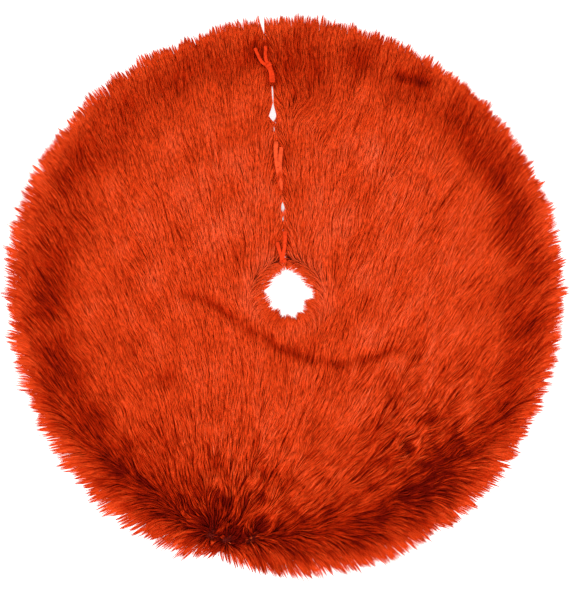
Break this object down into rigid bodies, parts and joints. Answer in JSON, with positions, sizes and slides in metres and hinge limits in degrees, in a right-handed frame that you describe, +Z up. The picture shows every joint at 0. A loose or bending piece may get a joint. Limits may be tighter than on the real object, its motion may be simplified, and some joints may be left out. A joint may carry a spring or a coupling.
{
  "type": "tree skirt",
  "caption": "Round long-pile faux-fur tree skirt with a trunk hole, a slit from hole to rim and fabric ties across the slit.",
  "frame": {"origin": "centre of the trunk hole, on the floor", "axes": "+Z up, through the trunk hole; +Y along the slit, from the hole to the rim"},
  "size_m": [1.216, 1.2153, 0.024],
  "materials": {
    "fur": "long glossy acrylic pile, red-orange",
    "backing": "knitted backing, matt",
    "lining": "plain-weave polyester, soft sheen",
    "binding": "folded woven tape, satin",
    "tie": "short-napped fabric tube, bright red-orange",
    "thread": "polyester sewing thread"
  },
  "bodies": {
    "main": {"pile_main": "fur", "backing_main": "backing", "lining_main": "lining", "rim_binding_main": "binding", "hole_binding_main": "binding", "seam_thread_main": "thread"},
    "left_flap": {"pile_left": "fur", "backing_left": "backing", "lining_left": "lining", "rim_binding_left": "binding", "hole_binding_left": "binding", "slit_binding_left": "binding", "seam_thread_left": "thread", "tie_tabs_left": "tie", "tie_bar_tacks_left": "thread", "tie_inner_left": "tie", "tie_middle_left": "tie", "tie_outer_left": "tie"},
    "right_flap": {"pile_right": "fur", "backing_right": "backing", "lining_right": "lining", "rim_binding_right": "binding", "hole_binding_right": "binding", "slit_binding_right": "binding", "seam_thread_right": "thread", "tie_tabs_right": "tie", "tie_bar_tacks_right": "thread", "tie_inner_right": "tie", "tie_middle_right": "tie", "tie_outer_right": "tie"}
  },
  "joints": [
    {"name": "left_flap_fold", "type": "hinge", "parent": "main", "child": "left_flap", "pos_m": [0, 0, 0.025], "axis": [1, 0, 0], "range_deg": [0, 176]},
    {"name": "right_flap_fold", "type": "hinge", "parent": "main", "child": "right_flap", "pos_m": [0, 0, 0.025], "axis": [1, 0, 0], "range_deg": [0, 176]}
  ]
}
